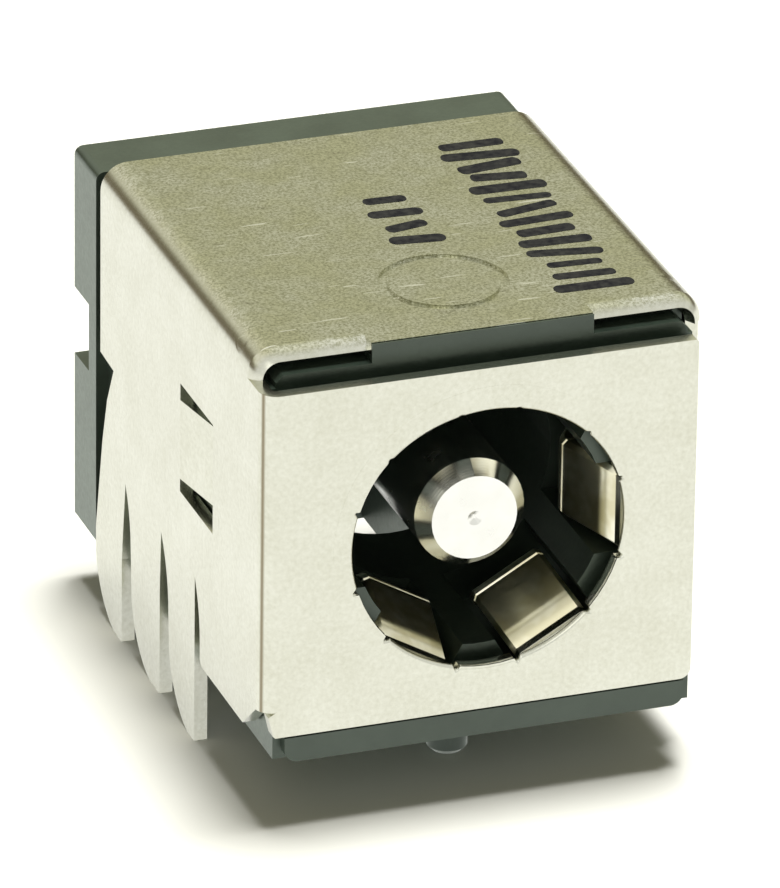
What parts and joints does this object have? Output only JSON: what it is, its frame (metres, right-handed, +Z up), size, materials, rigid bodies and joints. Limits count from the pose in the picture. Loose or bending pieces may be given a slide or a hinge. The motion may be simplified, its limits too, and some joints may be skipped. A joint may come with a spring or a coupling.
{
  "type": "dc barrel jack",
  "caption": "Board-mounted DC power jack: shielded box with a round spring-fingered opening, a centre pin for a barrel plug and solder legs.",
  "frame": {"origin": "on the board plane, directly below the plug axis, level with the front plate's outer face", "axes": "+X across the jack, to the right as seen by the plug; +Y from the front plate into the jack, the way the plug goes in; +Z up from the board"},
  "size_m": [0.0102, 0.0132, 0.011],
  "materials": {
    "black_plastic": "moulded, slightly satin",
    "plated_sheet": "nickel-plated rolled sheet",
    "pin_plating": "turned and nickel-plated",
    "tinned_strip": "tin-plated strip"
  },
  "bodies": {
    "root": {"housing": "black_plastic", "shield": "plated_sheet", "centre_pin": "pin_plating", "pin_terminal": "tinned_strip"}
  },
  "joints": []
}
